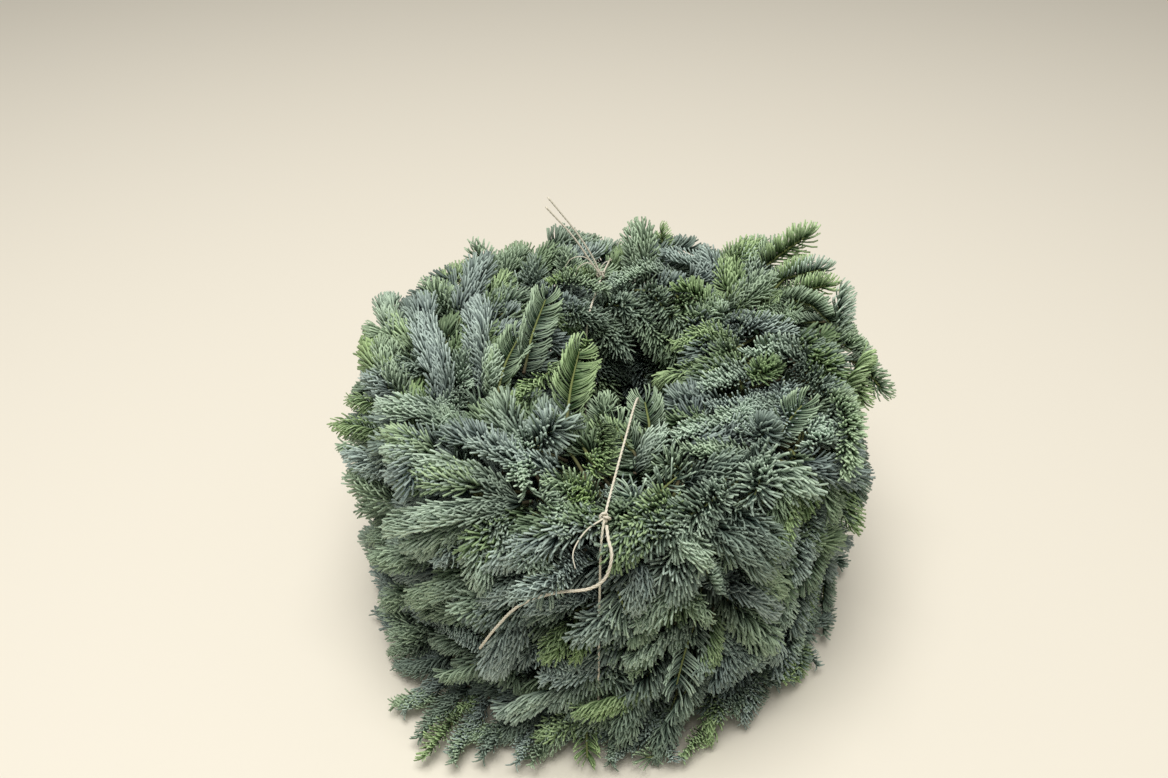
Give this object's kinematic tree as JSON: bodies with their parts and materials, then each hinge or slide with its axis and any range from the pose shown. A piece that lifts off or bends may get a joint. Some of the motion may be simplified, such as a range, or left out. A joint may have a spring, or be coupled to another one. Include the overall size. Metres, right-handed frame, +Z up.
{
  "type": "tied stack of fresh evergreen wreaths",
  "caption": "Fresh noble fir wreaths stacked flat in a drum, bound bunch by bunch on wire hoops and tied together front and back with sisal twine.",
  "frame": {"origin": "on the surface that the stack lies on, under the middle of the stack", "axes": "+Z up through the hole; -Y toward the front, where the twine's knot and long end are; +X to the right seen from the front"},
  "size_m": [0.413, 0.4198, 0.3099],
  "materials": {
    "foliage": "satin",
    "wire": "satin",
    "twine": "matte"
  },
  "bodies": {
    "root": {"wreath_1_hoop": "wire", "wreath_1_binding_wire": "wire", "wreath_1_bunch_01": "foliage", "wreath_1_bunch_02": "foliage", "wreath_1_bunch_03": "foliage", "wreath_1_bunch_04": "foliage", "wreath_1_bunch_05": "foliage", "wreath_1_bunch_06": "foliage", "wreath_1_bunch_07": "foliage", "wreath_1_bunch_08": "foliage", "wreath_1_bunch_09": "foliage", "wreath_1_bunch_10": "foliage", "wreath_2_hoop": "wire", "wreath_2_binding_wire": "wire", "wreath_2_bunch_01": "foliage", "wreath_2_bunch_02": "foliage", "wreath_2_bunch_03": "foliage", "wreath_2_bunch_04": "foliage", "wreath_2_bunch_05": "foliage", "wreath_2_bunch_06": "foliage", "wreath_2_bunch_07": "foliage", "wreath_2_bunch_08": "foliage", "wreath_2_bunch_09": "foliage", "wreath_2_bunch_10": "foliage", "wreath_3_hoop": "wire", "wreath_3_binding_wire": "wire", "wreath_3_bunch_01": "foliage", "wreath_3_bunch_02": "foliage", "wreath_3_bunch_03": "foliage", "wreath_3_bunch_04": "foliage", "wreath_3_bunch_05": "foliage", "wreath_3_bunch_06": "foliage", "wreath_3_bunch_07": "foliage", "wreath_3_bunch_08": "foliage", "wreath_3_bunch_09": "foliage", "wreath_3_bunch_10": "foliage", "wreath_4_hoop": "wire", "wreath_4_binding_wire": "wire", "wreath_4_bunch_01": "foliage", "wreath_4_bunch_02": "foliage", "wreath_4_bunch_03": "foliage", "wreath_4_bunch_04": "foliage", "wreath_4_bunch_05": "foliage", "wreath_4_bunch_06": "foliage", "wreath_4_bunch_07": "foliage", "wreath_4_bunch_08": "foliage", "wreath_4_bunch_09": "foliage", "wreath_4_bunch_10": "foliage", "tie_front": "twine", "tie_back": "twine", "tie_front_tail": "twine"}
  },
  "joints": []
}
